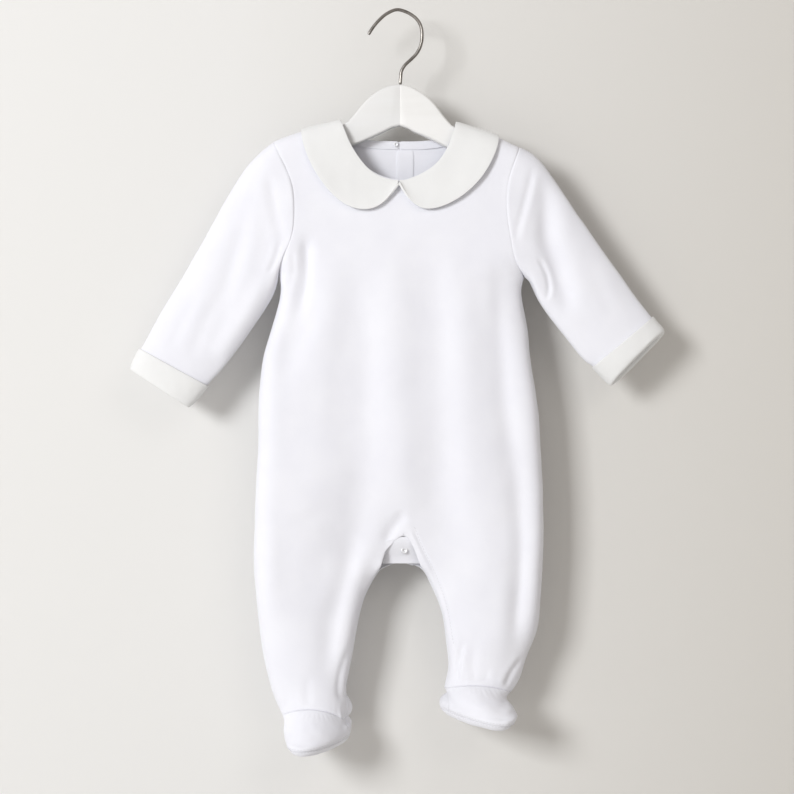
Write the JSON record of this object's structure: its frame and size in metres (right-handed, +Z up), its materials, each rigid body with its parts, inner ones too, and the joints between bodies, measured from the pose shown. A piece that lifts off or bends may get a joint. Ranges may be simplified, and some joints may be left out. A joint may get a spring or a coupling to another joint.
{
  "type": "footed baby sleepsuit on a wooden hanger",
  "caption": "Long-sleeved footed baby sleepsuit with a flat round collar and turned-back cuffs, hanging on a painted wooden hanger with a wire hook.",
  "frame": {"origin": "underside of the hook's crown, the point that hangs on a peg or rail", "axes": "+Z up, -Y the way the garment's front faces, +X towards the right of the front view"},
  "size_m": [0.5087, 0.0864, 0.7049],
  "materials": {
    "jersey": "soft cotton jersey, white",
    "trim": "smooth double jersey, ivory",
    "wood": "wood painted white, satin",
    "steel": "brushed steel wire",
    "popper": "nickel-coloured popper caps"
  },
  "bodies": {
    "root": {"back_facing": "jersey", "back_left": "jersey", "back_placket": "jersey", "back_popper_1": "popper", "back_popper_2": "popper", "back_popper_3": "popper", "back_right": "jersey", "collar_left": "trim", "collar_right": "trim", "crotch_placket": "jersey", "crotch_popper": "popper", "cuff_left": "trim", "cuff_right": "trim", "front": "jersey", "hanger_body": "wood", "hanger_hook": "steel", "heel_left": "jersey", "heel_right": "jersey", "neck_binding_left": "jersey", "neck_binding_right": "jersey", "neck_popper": "popper", "sleeve_left": "jersey", "sleeve_right": "jersey", "sole_left": "jersey", "sole_right": "jersey", "vamp_left": "jersey", "vamp_right": "jersey"}
  },
  "joints": []
}
